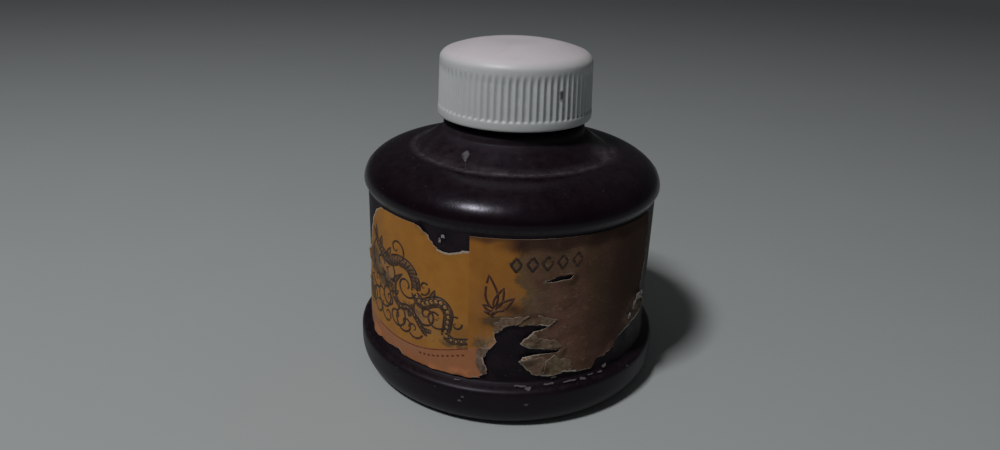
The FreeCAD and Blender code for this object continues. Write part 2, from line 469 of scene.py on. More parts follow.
def liner_material():
    """Pressed foam: fine cells, a stained ring where the lip bears on it."""
    m = Shader("liner_foam")
    stain = m.painted("zones")[0]
    cells = m.spots(0.35)
    colour = m.mix(m.noise(2.5), (0.7, 0.69, 0.63), (0.8, 0.79, 0.74))
    colour = m.mix(m.times(stain, m.patches(0.35, 0.6, 1.8, 5)), colour, (0.035, 0.03, 0.045))
    return m.finish(colour, m.between(cells, 0, 0.5, 0.75, 0.9), (cells, 0.03))


def ink_material():
    """Black ink with a blue cast, very slightly uneven."""
    m = Shader("ink")
    colour = m.mix(m.noise(6), (0.003, 0.003, 0.007), (0.007, 0.006, 0.015))
    return m.finish(colour, m.between(m.noise(3, 3), 0.3, 0.7, 0.05, 0.11), (m.noise(9, 1), 0.03))


def paper_material(name, fresh, fresh_dark):
    """Label paper by painted masks: frayed, worn, border, and stains with painted shadow, painted shade,
    rubbed.
    """
    m = Shader(name)
    fray, worn, border = m.painted("zones")
    stain, shade, rub = m.painted("marks")
    fibres = m.noise(0.55, 6, 0.7, (1, 1, 3.2))
    pulp = m.noise(0.22, 3, 0.6)
    blotch = m.noise(3.4, 5, 0.6)
    colour = m.mix(m.between(blotch, 0.3, 0.7), fresh, fresh_dark)
    colour = m.mix(border, colour, m.mix(blotch, (0.36, 0.128, 0.048), (0.45, 0.19, 0.085)))
    colour = m.over(colour, m.between(fibres, 0.6, 0.78), 0.45, (0.5, 0.32, 0.16))
    bare = m.mix(m.between(fibres, 0.34, 0.68), (0.134, 0.063, 0.041), (0.236, 0.124, 0.086))
    bare = m.over(bare, m.patches(0.4, 0.62, 4.5, 5, 0.65, (1, 1, 1.5)), 0.62, (0.086, 0.036, 0.026))
    bare = m.over(bare, m.patches(0.42, 0.62, 5.5, 3, 0.6, (1, 1, 0.28)), 0.62, (0.118, 0.09, 0.038))
    bare = m.over(bare, m.patches(0.58, 0.7, 1.3, 6, 0.75), 0.6, (0.36, 0.24, 0.17))
    bare = m.over(bare, m.patches(0.66, 0.74, 0.5, 3, 0.6, (0.16, 0.16, 1)), 0.55, (0.4, 0.31, 0.25))
    bare = m.mix(m.between(worn, 0.62, 0.96, 0.62, 0.0), bare, (0.165, 0.108, 0.04))
    # Painted shade darkens the worn paper where the shade mark is.
    bare = m.mix(shade, bare, m.mix(fibres, (0.042, 0.021, 0.015), (0.104, 0.056, 0.041)))
    lost = m.broken(worn, 0.42, 0.38, 0.62, 1, 7, 0.78)
    colour = m.mix(lost, colour, bare)
    rubbed = m.times(rub, m.patches(0.4, 0.62, 0.8, 6, 0.75))
    colour = m.over(colour, rubbed, 0.75, (0.275, 0.228, 0.168))
    # The stain mask also carries a painted shadow of the shoulder along the top of the right piece, and
    # painted shade on its right.
    colour = m.over(colour, stain, m.between(blotch, 0.2, 0.7, 0.6, 1.0), (0.045, 0.02, 0.014))
    torn = m.broken(fray, 0.3, 0.42, 0.6, 0.5, 5, 0.7)
    colour = m.mix(torn, colour, m.mix(pulp, (0.34, 0.27, 0.21), (0.58, 0.51, 0.45)))
    m.set("Specular IOR Level", 0.22)
    return m.finish(colour, m.between(m.plus(lost, torn), 0, 1, 0.52, 0.9),
                    (blotch, 0.05), (lost, -0.035), (fibres, 0.03), (pulp, 0.012))


def print_material(name, ink, faded):
    """Old printing ink on paper: broken, and faded where it has rubbed."""
    m = Shader(name)
    lost = m.patches(0.5, 0.66, 0.7, 6, 0.75)
    colour = m.mix(lost, m.mix(m.noise(2.5), ink, tuple(c * 1.7 for c in ink)), faded)
    return m.finish(colour, m.between(lost, 0, 1, 0.55, 0.85), (m.noise(0.3, 3), 0.01))


def scrap_material():
    """Bare torn paper pulp, greyed by handling, darker on the heel and paler on the scraps higher up."""
    m = Shader("paper_scrap")
    clean = m.painted("zones")[0]
    # Scraps are paler the higher they sit, darker on the heel.
    pulp = m.mix(clean, (0.12, 0.102, 0.108), (0.5, 0.465, 0.44))
    colour = m.mix(m.patches(0.42, 0.66, 0.8, 6, 0.7), pulp, (0.06, 0.046, 0.048))
    return m.finish(colour, m.between(m.noise(0.3), 0.3, 0.7, 0.8, 0.95), (m.noise(0.3, 5), 0.04))


def dried_ink_material():
    """Dried ink: a chalky pale skin on the nub, black and half glossy down the run."""
    m = Shader("dried_ink")
    pale = m.painted("zones")[0]
    skin = m.times(pale, m.patches(0.28, 0.55, 0.9, 5, 0.7))
    black = m.mix(m.noise(0.8, 5), (0.008, 0.005, 0.007), (0.018, 0.013, 0.017))
    colour = m.mix(skin, black, (0.13, 0.118, 0.128))
    return m.finish(colour, m.between(skin, 0, 1, 0.45, 0.8), (m.noise(0.5, 4), 0.05))


def floor_material():
    """A plain pale studio floor with the faintest unevenness."""
    m = Shader("studio_floor")
    colour = m.mix(m.noise(60, 3), (0.455, 0.495, 0.485), (0.48, 0.52, 0.51))
    return m.finish(colour, m.between(m.noise(20), 0.3, 0.7, 0.75, 0.85))


# ---- bottle

def turns_with(extra, count):
    """Evenly spaced angles in radians, with a few more close round some places in degrees."""
    close = np.array([-0.9, -0.6, -0.35, -0.15, 0, 0.15, 0.35, 0.6, 0.9])
    more = [np.radians(middle + close) % (2 * math.pi) for middle in extra]
    return np.unique(np.round(np.concatenate([once_round(count), *more]), 6))


def bottle_outline():
    """Outside from the raised underside up to the lip, then down the inside to the floor."""
    outside = Profile(0, PUSH_UP)
    outside.line(FOOT_R[0] - 2 * PUSH_UP, PUSH_UP).line(FOOT_R[0], 0).line(FOOT_R[1], 0)
    outside.quarter((BASE_R, 0), (BASE_R, BASE_WIDE_Z[0])).line(BASE_R, BASE_WIDE_Z[1])
    outside.quarter((BASE_R, BASE_TOP_Z - 0.3), (BASE_R - 1.1, BASE_TOP_Z - 0.3))
    outside.line(PANEL_R + CORNER, BASE_TOP_Z)
    outside.quarter((PANEL_R, BASE_TOP_Z), (PANEL_R, BASE_TOP_Z + CORNER))
    outside.line(PANEL_R, PANEL_TOP_Z).line(*LIP).line(*SHOULDER)
    outside.quarter((SHOULDER[0], CREASE[1]), CREASE)
    outside.line(*CONE_TOP).line(CONE_TOP[0], BEAD_TOP_Z - CORNER)
    outside.line(CONE_TOP[0] - CORNER, BEAD_TOP_Z).line(NECK_R, BEAD_TOP_Z)
    outside.line(NECK_R, MOUTH_Z)
    outer = softened(outside.points, OUTSIDE_ROUNDING)
    lip = Profile(*outer[-1]).line(MOUTH_R, MOUTH_Z)
    inside = Profile(MOUTH_R, MOUTH_Z)
    inside.line(MOUTH_R, CONE_TOP[1]).line(CREASE[0], CREASE[1] - WALL)
    inside.quarter((PANEL_R - WALL, CREASE[1] - WALL), (PANEL_R - WALL, SHOULDER[1]))
    inside.line(PANEL_R - WALL, BASE_TOP_Z + WALL).line(BASE_R - WALL, BASE_WIDE_Z[1] - CORNER)
    inside.line(BASE_R - WALL, BASE_WIDE_Z[0] + WALL)
    inside.quarter((BASE_R - WALL, PUSH_UP + WALL), (FOOT_R[0], PUSH_UP + WALL))
    inside.line(0, PUSH_UP + WALL)
    inner = softened(inside.points, INSIDE_ROUNDING)
    return outer, np.array(lip.points), inner


def bottle_step(r, z):
    """Longest step along the bottle's outline: short where the thread stands on the neck."""
    on_thread = NECK_THREAD[0] - 1.6 < z < NECK_THREAD[0] + 7.6 and abs(r - NECK_R) < 0.3
    return 0.21 if on_thread else 1.3


def bottle_shape(r, z, a):
    """Moulding lines, the neck's thread, stippling under the foot and a slight waviness."""
    outside = r > NECK_R - 0.3
    wall = outside & (r > PANEL_R - 0.9)
    wave = 0.05 * np.sin(2 * a + 0.6) + 0.035 * np.sin(3 * a + z * 0.11)
    wave = wave + 0.015 * np.sin(5 * a - z * 0.2)
    shoulder = smoothstep(LIP[1] + 1, CREASE[1] - 1, z) * smoothstep(MOUTH_Z, BEAD_TOP_Z, z)
    z = z + outside * shoulder * wave * 1.4
    r = r - (wall & (z > BASE_TOP_Z + 2) & (z < PANEL_TOP_Z - 2)) * np.abs(wave) * 0.4
    line = hump(np.degrees(np.abs(np.sin(a))), MOULD_LINE_HALF)
    line = line * smoothstep(1.0, 4.0, z) * smoothstep(MOUTH_Z - 1, BEAD_TOP_Z, z)
    r = r + outside * line * MOULD_LINE * (1 - smoothstep(BASE_R - 0.5, BASE_R - 0.05, r))
    on_neck = outside & (np.abs(r - NECK_R) < 0.35) & (z > BEAD_TOP_Z + 0.5)
    r = r + on_neck * screw_ridge(z, a % (2 * math.pi), NECK_THREAD, THREAD_HALF) * THREAD_DEPTH
    foot = (z < 0.05) & (r > FOOT_R[0]) & (r < FOOT_R[1])
    return r, z + foot * STIPPLE_DEPTH * np.maximum(0, np.sin(a * STIPPLES))


def at_panel(r):
    """Whether a radius is that of the recessed label panel."""
    return np.abs(r - PANEL_R) < 0.5


def bottle_zones(r, z):
    """Edges rubbed bright, the panel's old glue, and the top that catches dust."""
    wear = most(0.35 * hump(z - BASE_TOP_Z + 0.35, 0.45) * smoothstep(PANEL_R + 1, BASE_R - 1.2, r),
                0.85 * hump(z - LIP[1], 0.35) * (r > PANEL_R),
                0.5 * smoothstep(1.2, 0.2, z) * (r > FOOT_R[1]))
    glue = at_panel(r) * smoothstep(BASE_TOP_Z, BASE_TOP_Z + 1, z)
    glue = glue * smoothstep(PANEL_TOP_Z + 0.4, PANEL_TOP_Z - 0.6, z)
    top = smoothstep(SHOULDER[1], CREASE[1], z) * (r > NECK_R - 0.3) * smoothstep(MOUTH_Z, BEAD_TOP_Z, z)
    return np.stack([wear, glue, top], 1)


def bottle_dust(r, degrees, z):
    """Dust and a painted highlight along the crease, dust and a painted sheen on the cone, and the duller
    neck, panel and base.
    """
    from_crease = np.hypot(r - CREASE[0], (z - CREASE[1]) * 1.3)
    # Dust and a painted highlight along the crease, with a lighter patch on the right.
    dust_and_highlight = (0.55 + 0.45 * hump(degrees + 13, 16)) * hump(from_crease, 0.42)
    clump = hump(degrees - 72, 12) * hump(r - CREASE[0] + 0.8, 1.7) * (z > LIP[1])
    on_cone = smoothstep(CREASE[0] + 1.5, CREASE[0] - 0.5, r) * (z > CREASE[1] - 0.5)
    # Painted sheen on the left of the cone, and a faint dusty haze over the top of the shoulder.
    dust_and_sheen = most(on_cone * hump(degrees + 50, 38), 0.25 * smoothstep(LIP[1] + 2, CREASE[1], z))
    shaded = most(smoothstep(CONE_TOP[1] - 1.4, CONE_TOP[1] - 0.4, z),
                  0.6 * smoothstep(BASE_TOP_Z + 0.5, BASE_TOP_Z - 0.5, z),
                  at_panel(r) * (z < PANEL_TOP_Z))
    return np.stack([most(dust_and_highlight, 0.8 * clump), dust_and_sheen, shaded], 1)


def make_bottle():
    outer, lip, inner = bottle_outline()
    line = thinned(np.vstack([outer, lip[1:-1], inner]), STRAY, bottle_step)
    line[[0, -1], 0] = 0
    vertices, faces = lathe(line, turns_with((0, 180), BOTTLE_TURNS), bottle_shape)
    r, _, z = rounded(vertices)
    degrees = np.degrees(np.arctan2(vertices[:, 0], -vertices[:, 1]))
    colours = {"zones": bottle_zones(r, z), "dust": bottle_dust(r, degrees, z)}
    piece = make_object("bottle", vertices, faces, bottle_material(), colours)
    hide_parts("bottle_body")
    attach(piece, "bottle")


# ---- cap, liner and ink

def cap_outline():
    """Up the outside of the skirt, over the top, and down the inside back to the bottom edge."""
    outside = Profile(CAP_INSIDE_R + 0.5, CAP_LOW.z).line(CAP_R - 0.12, CAP_LOW.z)
    outside.line(CAP_R - 0.04, CAP_LOW.z + 0.3).line(CAP_R - 0.02, CAP_BAND_TOP_Z - 0.25)
    outside.line(CAP_R - 0.12, CAP_BAND_TOP_Z)
    outside.line(*CAP_SIDE_TOP).quarter((CAP_SIDE_TOP[0], CAP_CORNER_Z), CAP_FACE)
    for r in np.linspace(CAP_FACE[0], CAP_CROWN_R, 12)[1:]:
        share = (r - CAP_CROWN_R) / (CAP_FACE[0] - CAP_CROWN_R)
        outside.line(r, CAP_HIGH.z - (CAP_HIGH.z - CAP_FACE[1]) * share ** 2)
    outside.line(0, CAP_HIGH.z)
    outer = softened(outside.points, 0.16)
    inside = Profile(0, CAP_INSIDE_TOP_Z).line(CAP_INSIDE_R, CAP_INSIDE_TOP_Z)
    inside.line(CAP_INSIDE_R, CAP_LOW.z + 0.5).line(CAP_INSIDE_R + 0.5, CAP_LOW.z)
    return outer, softened(inside.points, 0.12)


def cap_step(r, z):
    """Short steps at the ends of the ribs and along the inside thread."""
    if r > CAP_WALL_R:
        near_end = abs(z - CAP_BAND_TOP_Z) < 0.6 or -1.8 < z - RIB_TOP_Z < 0.5
        return 0.16 if near_end else 0.5
    on_thread = CAP_THREAD[0] - 1.4 < z < CAP_THREAD[0] + 6.4 and r > CAP_INSIDE_R - 0.4
    return 0.36 if on_thread else 1.2


def rib_hollow(a):
    """0 on the crest of each rib of the cap, 1 in the middle of each groove."""
    return 0.5 - 0.5 * np.cos(RIBS * a)


def cap_shape(r, z, a):
    """Ribs up the skirt, and the thread inside it."""
    on_skirt = (r > CAP_WALL_R) & (z < CAP_SIDE_TOP[1])
    height = smoothstep(CAP_BAND_TOP_Z - 0.02, CAP_BAND_TOP_Z + 0.22, z)
    height = height * smoothstep(RIB_TOP_Z + 0.4, RIB_TOP_Z - 1.6, z)
    uneven = 1 + 0.1 * np.sin(7 * a + 1) + 0.06 * np.sin(19 * a)
    r = r - on_skirt * rib_hollow(a) ** 0.8 * uneven * height * RIB_DEPTH
    inside = (r > CAP_INSIDE_R - 0.4) & (r < CAP_INSIDE_R + 0.3) & (z < CAP_INSIDE_TOP_Z - 0.5)
    ridge = screw_ridge(z, a % (2 * math.pi), CAP_THREAD, THREAD_HALF)
    return r - (inside & (z > CAP_LOW.z + 0.3)) * ridge * THREAD_DEPTH, z


def cap_zones(r, a, z):
    """Soiling and painted shade in the grooves, a spot of dried ink in one of them, and the top face,
    painted lighter.
    """
    skirt = (r > CAP_WALL_R) & (z < CAP_SIDE_TOP[1]) & (z > CAP_BAND_TOP_Z)
    # Soiling and painted shade are strongest at the front-right, away from the key light.
    handled_and_shaded = 0.2 + 0.8 * hump(np.degrees(a) + 48, 44)
    dirt_and_shade = skirt * rib_hollow(a) * smoothstep(RIB_TOP_Z + 0.5, RIB_TOP_Z - 2, z) * handled_and_shaded
    dirt_and_shade = most(dirt_and_shade, 0.7 * hump(z - CAP_BAND_TOP_Z, 0.3) * (r > CAP_WALL_R))
    beside = (a - CAP_SPOT_GROOVE * 2 * math.pi / RIBS) * CAP_R
    spot = hump(beside, 0.34) * np.exp(-((z - CAP_SPOT_Z) / 0.95) ** 4) * skirt
    spot = most(spot, 0.4 * hump(beside, 0.3) * hump(z - CAP_SPOT_Z + 2.2, 0.8))
    # The third mask is the top face, painted lighter in the material as if lit from above.
    return np.stack([dirt_and_shade, spot, smoothstep(CAP_SIDE_TOP[1], CAP_FACE[1], z)], 1)


def make_cap():
    line = thinned(np.vstack(cap_outline()), STRAY, cap_step)[:-1]
    line[line[:, 0] < 1e-3, 0] = 0
    vertices, faces = lathe(line, once_round(RIBS * 10), cap_shape, closed=True)
    zones = cap_zones(*rounded(vertices))
    piece = make_object("cap", vertices, faces, cap_material(), {"zones": zones})
    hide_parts("screw_cap")
    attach(piece, "cap")


def make_liner():
    """The sealing disc, pressed in where the bottle's lip bears on it."""
    r, low, high = LINER_HIGH.x, LINER_LOW.z, LINER_HIGH.z
    outline = Profile(0, low).line(r - LINER_EDGE, low).quarter((r, low), (r, low + LINER_EDGE))
    outline.line(r, high - LINER_EDGE).quarter((r, high), (r - LINER_EDGE, high)).line(0, high)
    line = evenly(outline.points, 0.22)
    line[[0, -1], 0] = 0
    lip_middle = (MOUTH_R + NECK_R) / 2

    def pressed(r, z, a):
        dent = np.exp(-((r - lip_middle) / 0.75) ** 4) * (0.16 + 0.03 * np.sin(3 * a))
        return r, z + (z < low + 0.05) * dent

    vertices, faces = lathe(line, once_round(160), pressed)
    r, _, z = rounded(vertices)
    stain = smoothstep(lip_middle + 0.4, lip_middle - 0.6, r) * (z < low + 0.3)
    zones = np.stack([stain * 0.9, stain, stain], 1)
    piece = make_object("liner", vertices, faces, liner_material(), {"zones": zones})
    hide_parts("cap_liner")
    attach(piece, "liner")


def make_ink():
    """The ink, with its surface drawn up a little where it meets the wall."""
    wall_r = PANEL_R - WALL - 0.05
    surface_z = INK_HIGH.z - MENISCUS
    outline = Profile(0, INK_LOW.z).line(FOOT_R[0], INK_LOW.z)
    outline.quarter((INK_HIGH.x, INK_LOW.z), (INK_HIGH.x, BASE_WIDE_Z[0] + WALL))
    outline.line(INK_HIGH.x, BASE_WIDE_Z[1] - CORNER).line(wall_r, BASE_TOP_Z + WALL)
    outline.line(wall_r, INK_HIGH.z)
    outline.quarter((wall_r, surface_z), (wall_r - 2 * MENISCUS, surface_z)).line(0, surface_z)
    line = thinned(evenly(outline.points, 0.2), 0.02, lambda r, z: 2.0)
    line[[0, -1], 0] = 0
    vertices, faces = lathe(line, once_round(128))
    piece = make_object("ink_in_bottle", vertices, faces, ink_material())
    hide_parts("ink_fill")
    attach(piece, "bottle")


# ---- label

def across(degrees):
    """Distance round the panel from the front, in millimetres."""
    return PANEL_R * np.radians(degrees)


def on_panel(s, z, lift, facing):
    """Points that stand a lift off the panel, at a distance round it and a height."""
    return from_front(PANEL_R + lift, s / PANEL_R + math.radians(facing), z)


def ragged(outline, seed, step=0.22):
    """An outline as closely spaced (distance round, height, torn, pale) points.

    Each given point is (degrees, height, raggedness, paleness) of the edge that leaves it.
    Raggedness is how far it wanders in millimetres, 0 for a clean cut; paleness is how much white
    paper shows along it, 0 to 1."""
    points = []
    for i, (degrees, z, rough, pale) in enumerate(outline):
        next_degrees, next_z = outline[(i + 1) % len(outline)][:2]
        start = np.array([across(degrees), z])
        end = np.array([across(next_degrees), next_z])
        length = np.hypot(*(end - start))
        count = max(1, int(length / step))
        normal = np.array([end[1] - start[1], start[0] - end[0]]) / max(length, 1e-6)
        for k in range(count):
            place = start + (end - start) * k / count
            wander = noise.fractal(Vector((place[0] * 0.55, place[1] * 0.55, seed)), 1.0, 2.0, 5)
            fade = min(1.0, 4 * min(k, count - k) / count)
            place = place + normal * wander * rough * (0.35 + 0.65 * fade) * 1.6
            points.append((place[0], place[1], rough, pale))
    return np.array(points)


def inside_outline(points, outline):
    """Which points lie inside a closed outline."""
    x, y = points[:, 0], points[:, 1]
    inside = np.zeros(len(points), bool)
    for i in range(len(outline)):
        (x1, y1), (x2, y2) = outline[i - 1][:2], outline[i][:2]
        if y1 == y2:
            continue
        crosses = ((y1 > y) != (y2 > y)) & (x < (x2 - x1) * (y - y1) / (y2 - y1) + x1)
        inside ^= crosses
    return inside


def nearest(points, others):
    """For each point, which of the others is nearest to it, and how far off."""
    tree = kdtree.KDTree(len(others))
    for i, other in enumerate(others):
        tree.insert((other[0], other[1], 0), i)
    tree.balance()
    found = [tree.find((p[0], p[1], 0)) for p in points]
    return np.array([f[1] for f in found]), np.array([f[2] for f in found])


def filled(outline, holes, spacing):
    """A flat triangle mesh inside an outline and outside its holes."""
    (left, low), (right, high) = outline[:, :2].min(0), outline[:, :2].max(0)
    grid = []
    for row, y in enumerate(np.arange(low, high, spacing * 0.866)):
        xs = np.arange(left + (row % 2) * spacing / 2, right, spacing)
        grid.append(np.stack([xs, np.full_like(xs, y)], 1))
    grid = np.vstack(grid)
    rims = [outline] + holes
    rim_points = np.vstack([rim[:, :2] for rim in rims])
    grid = grid[inside_outline(grid, outline)]
    grid = grid[nearest(grid, rim_points)[1] > spacing * 0.45]
    edges, first = [], 0
    for rim in rims:
        count = len(rim)
        edges += [(first + i, first + (i + 1) % count) for i in range(count)]
        first += count
    points = [Vector(p) for p in np.vstack([rim_points, grid])]
    result = geometry.delaunay_2d_cdt(points, edges, [], 0, 1e-5)
    flat = np.array([tuple(p) for p in result[0]])
    centres = middles(flat, result[2])
    keep = inside_outline(centres, outline)
    for hole in holes:
        keep &= ~inside_outline(centres, hole)
    return kept_part(flat, result[2], keep)


def middles(flat, faces):
    """The middle of each face."""
    return np.array([flat[list(f)].mean(0) for f in faces])


def kept_part(flat, faces, keep):
    """The faces to keep, and only the points that they use."""
    faces = [f for f, kept in zip(faces, keep) if kept]
    used = sorted({i for f in faces for i in f})
    renumber = {old: new for new, old in enumerate(used)}
    return flat[used], [tuple(renumber[i] for i in f) for f in faces]


def thick_sheet(top, under, faces):
    """Closes a sheet's upper and lower faces with walls round its edges."""
    count = len(top)
    edges = dict.fromkeys((f[i], f[(i + 1) % len(f)]) for f in faces for i in range(len(f)))
    walls = [(b, a, a + count, b + count) for a, b in edges if (b, a) not in edges]
    below = [tuple(i + count for i in reversed(f)) for f in faces]
    return np.vstack([top, under]), list(faces) + below + walls


class Paper:
    """One torn piece of the label: its outline, and how its surface lifts off the bottle."""

    def __init__(self, name, outline, holes=(), facing=0.0, seed=1.0, lift=None, spacing=PAPER_GRID):
        self.name = name
        self.facing = facing
        self.seed = seed
        self.extra_lift = lift
        self.rim = ragged(outline, seed)
        self.holes = [ragged(hole, seed + 3 + i) for i, hole in enumerate(holes)]
        torn = [rim[rim[:, 2] > 0.05] for rim in [self.rim] + self.holes]
        self.torn = np.vstack([rim for rim in torn if len(rim)])
        self.flat, self.faces = filled(self.rim, self.holes, spacing)

    def lift(self, points):
        """Height of the paper's face over the panel, in millimetres."""
        s, z = points.T
        deep = np.stack([s, z, np.full_like(s, self.seed)], 1)
        near = 1 - smoothstep(0, CURL_REACH, nearest(points, self.torn)[1])
        curl = smoothstep(0.05, 0.75, grain(deep, 4.5, self.seed + 2, 2))
        lift = PAPER_GAP + PAPER + BUCKLE * (1 + grain(deep, 5.0, self.seed, 3))
        lift = lift + near * (0.05 + CURL * curl)
        return lift + self.extra_lift(s, z) if self.extra_lift else lift

    def sheet(self, flat, faces, low, high):
        """A thick sheet on the panel, between two lifts."""
        top, under = (on_panel(*flat.T, lift, self.facing) for lift in (high, low))
        return thick_sheet(top, under, faces)

    def build(self, material, slot, node, zones, marks):
        s, z = self.flat.T
        lift = self.lift(self.flat)
        vertices, faces = self.sheet(self.flat, self.faces, lift - PAPER, lift)
        edge, far = nearest(self.flat, self.torn)
        fray = self.torn[edge, 3] * np.exp(-(far / FRAY_REACH) ** 1.3)
        painted = np.stack([fray, *np.broadcast_arrays(s, *zones(s, z))[1:]], 1)
        painted = np.vstack([painted, painted * 0 + (1.0, 1.0, 0.0)])
        marked = np.stack(np.broadcast_arrays(s, *marks(s, z))[1:], 1)
        marked = np.vstack([marked, marked * 0])
        piece = make_object(self.name, vertices, faces, material,
                            {"zones": painted, "marks": marked}, sharp=55)
        if node:
            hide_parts(node)
        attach(piece, "bottle")


def blob(s, z, degrees, height, wide, tall):
    """1 at a place on the label, falling away over a width and a height in millimetres."""
    return hump(s - across(degrees), wide) * hump(z - height, tall)


def blobs(s, z, *places):
    """The most of several blobs, each a strength and then a blob's own values."""
    return most(*(strength * blob(s, z, *place) for strength, *place in places))


# Outlines: (degrees round from the front, height, raggedness, paleness) of each edge.
LEFT_OUTLINE = [
    (-9, 9.2, 0.1, 0.2), (-23, 9.0, 0.1, 0.2), (-38, 8.95, 0.12, 0.3), (-43, 9.0, 0.1, 0.7),
    (-45, 9.7, 0.1, 0.5), (-54, 9.0, 0.12, 0.2), (-63, 8.95, 0.15, 0.5), (-74, 9.1, 0.25, 0.7),
    (-79, 12.0, 0.3, 0.7), (-76, 17.0, 0.35, 0.7), (-72.5, 20.5, 0.3, 0.7),
    (-70, 25.5, 0.3, 1.0), (-67, 29.5, 0.3, 1.0), (-63, 33.0, 0.2, 0.9),
    (-59.5, 35.2, 0.15, 0.8), (-56, 36.1, 0.0, 0.3), (-33.5, 36.1, 0.3, 0.5),
    (-30, 35.0, 0.35, 0.6), (-27.5, 33.7, 0.35, 0.5), (-25.5, 32.6, 0.3, 0.9),
    (-21, 32.4, 0.2, 1.0), (-14, 33.3, 0.1, 0.6), (-9, 33.3, 0.05, 0.0),
]
RIGHT_OUTLINE = [
    (-13.5, 9.3, 0.15, 0.6), (-10, 9.3, 0.2, 0.6), (-6.3, 10.3, 0.25, 0.7), (-8.2, 13.2, 0.2, 0.8),
    (-5.8, 15.2, 0.2, 0.6), (-3.2, 16.8, 0.2, 0.6), (-4.2, 18.4, 0.15, 0.7),
    (-1.5, 19.6, 0.25, 0.5), (3, 20.2, 0.25, 0.4), (8, 20.2, 0.25, 0.5), (11.5, 20.4, 0.15, 0.7),
    (15, 19.6, 0.12, 0.5), (9.5, 18.9, 0.15, 0.8), (5, 16.8, 0.2, 0.9), (8, 15.8, 0.15, 0.9),
    (14, 15.2, 0.1, 0.5), (20, 14.8, 0.06, 0.3), (19, 14.3, 0.06, 0.3), (12, 14.3, 0.1, 0.6),
    (6, 14.1, 0.15, 0.9), (4.8, 13.1, 0.2, 1.0), (9, 11.3, 0.2, 0.9), (13, 9.8, 0.15, 0.8),
    (17, 9.7, 0.15, 0.8), (22, 10.2, 0.15, 0.9), (27.5, 9.6, 0.15, 0.6), (34, 9.3, 0.2, 0.4),
    (36.5, 11.0, 0.25, 0.5), (43.5, 12.2, 0.25, 0.5), (48, 13.8, 0.25, 0.8), (52, 14.9, 0.25, 1.0),
    (58, 15.6, 0.3, 1.0), (61, 18.0, 0.3, 1.0), (62, 21.0, 0.3, 0.8),
    (65, 26.0, 0.3, 0.5), (64, 31.5, 0.25, 0.4),
    (63, 36.1, 0.0, 0.2), (-13.5, 36.1, 0.0, 0.2),
]
SLASH = [
    (12.3, 28.3, 0.1, 0.5), (16, 28.1, 0.1, 0.3), (22, 28.5, 0.08, 0.2),
    (23.6, 29.3, 0.08, 0.2), (18, 29.2, 0.1, 0.5),
]
BACK_OUTLINE = [
    (-66, 14.0, 0.35, 0.8), (-60, 29.0, 0.4, 0.9), (-40, 34.0, 0.35, 0.8), (-22, 30.5, 0.4, 0.7),
    (-6, 33.5, 0.45, 0.9), (14, 26.5, 0.4, 0.7), (28, 29.0, 0.4, 0.9), (42, 20.0, 0.35, 0.8),
    (34, 11.5, 0.3, 0.6), (12, 9.0, 0.1, 0.3), (-20, 9.4, 0.1, 0.3), (-48, 9.0, 0.25, 0.6),
]
# Layers of the paper that have peeled up beside the tear: outlines as above.
FLAPS = [
    [(5.0, 16.9, 0.25, 0.7), (9.0, 15.9, 0.2, 0.5), (15, 15.4, 0.1, 0.1), (21, 15.3, 0.15, 0.0),
     (19, 16.6, 0.3, 0.1), (13, 17.5, 0.35, 0.3), (8.5, 18.6, 0.25, 0.6)],
    [(4.8, 13.5, 0.2, 0.8), (7.0, 11.9, 0.3, 0.6), (10.5, 10.3, 0.25, 0.5), (13.0, 10.2, 0.15, 0.1),
     (15.5, 12.9, 0.35, 0.1), (9.0, 14.0, 0.1, 0.4)],
    [(14.6, 12.8, 0.25, 0.2), (13.4, 10.1, 0.25, 0.7), (17.5, 9.8, 0.3, 0.6),
     (25.5, 10.6, 0.3, 0.2), (24.0, 12.4, 0.35, 0.1), (18.0, 13.9, 0.3, 0.2)],
    [(-8.0, 13.6, 0.25, 0.7), (-6.3, 11.0, 0.3, 0.4), (-8.0, 10.0, 0.3, 0.2),
     (-10.5, 12.4, 0.3, 0.0), (-9.5, 15.4, 0.3, 0.1), (-5.8, 15.4, 0.2, 0.5)],
    [(-3.8, 18.6, 0.25, 0.5), (-1.0, 19.9, 0.25, 0.5), (5.0, 20.6, 0.3, 0.2),
     (8.0, 22.0, 0.4, 0.1), (-0.5, 21.6, 0.4, 0.1), (-4.5, 20.4, 0.35, 0.2)],
    [(11.5, 20.3, 0.15, 0.8), (15.0, 19.8, 0.12, 0.6), (18.0, 21.0, 0.35, 0.1), (11.0, 22.1, 0.35, 0.1)],
]
BORDER = [(-79, 12.0), (-61, 12.2), (-42, 12.1), (-29, 12.8), (-11, 15.2), (-2, 17.0)]


def border_height(s):
    """Height of the top of the label's lower border at a distance round from the front."""
    degrees, heights = np.array(BORDER).T
    return np.interp(np.degrees(s / PANEL_R), degrees, heights)


def below_border(s, z):
    return 1 - smoothstep(-0.15, 0.15, z - border_height(s))


# Masks painted on each piece, from 0 to 1. Zones are how worn the paper is, and whether it is the
# lower border. Marks are stains with painted shadow, painted shade on the worn paper, and how rubbed it
# is.

def left_zones(s, z):
    worn = blobs(s, z, (1, -64, 24.5, 3.6, 3.4), (0.85, -55, 22.5, 4.2, 2.4), (0.75, -70, 17, 3.5, 4),
                 (0.6, -19, 15, 5.5, 1.4), (0.62, -38, 19, 5, 2))
    return worn, below_border(s, z)


def left_marks(s, z):
    stain = blobs(s, z, (0.25, -60, 30, 4, 3), (0.35, -16, 17.5, 4.5, 1.6))
    rub = blobs(s, z, (0.8, -52, 25, 6, 2.5), (0.65, -33, 18, 7, 4), (0.45, -40, 11.4, 9, 1.2))
    return stain, 0, rub


def right_zones(s, z):
    change = across(3.5) + 1.0 * np.sin(z * 0.55) + 0.5 * np.sin(z * 1.9 + 1)
    worn = 0.6 * smoothstep(change - 1.6, change + 0.8, s) + 0.4 * smoothstep(change, change + 4.5, s)
    worn = most(worn, blobs(s, z, (0.8, -1, 20.8, 5, 1.7), (0.62, -9, 16, 3, 1.8)))
    return worn, below_border(s, z) * (s < across(-2))


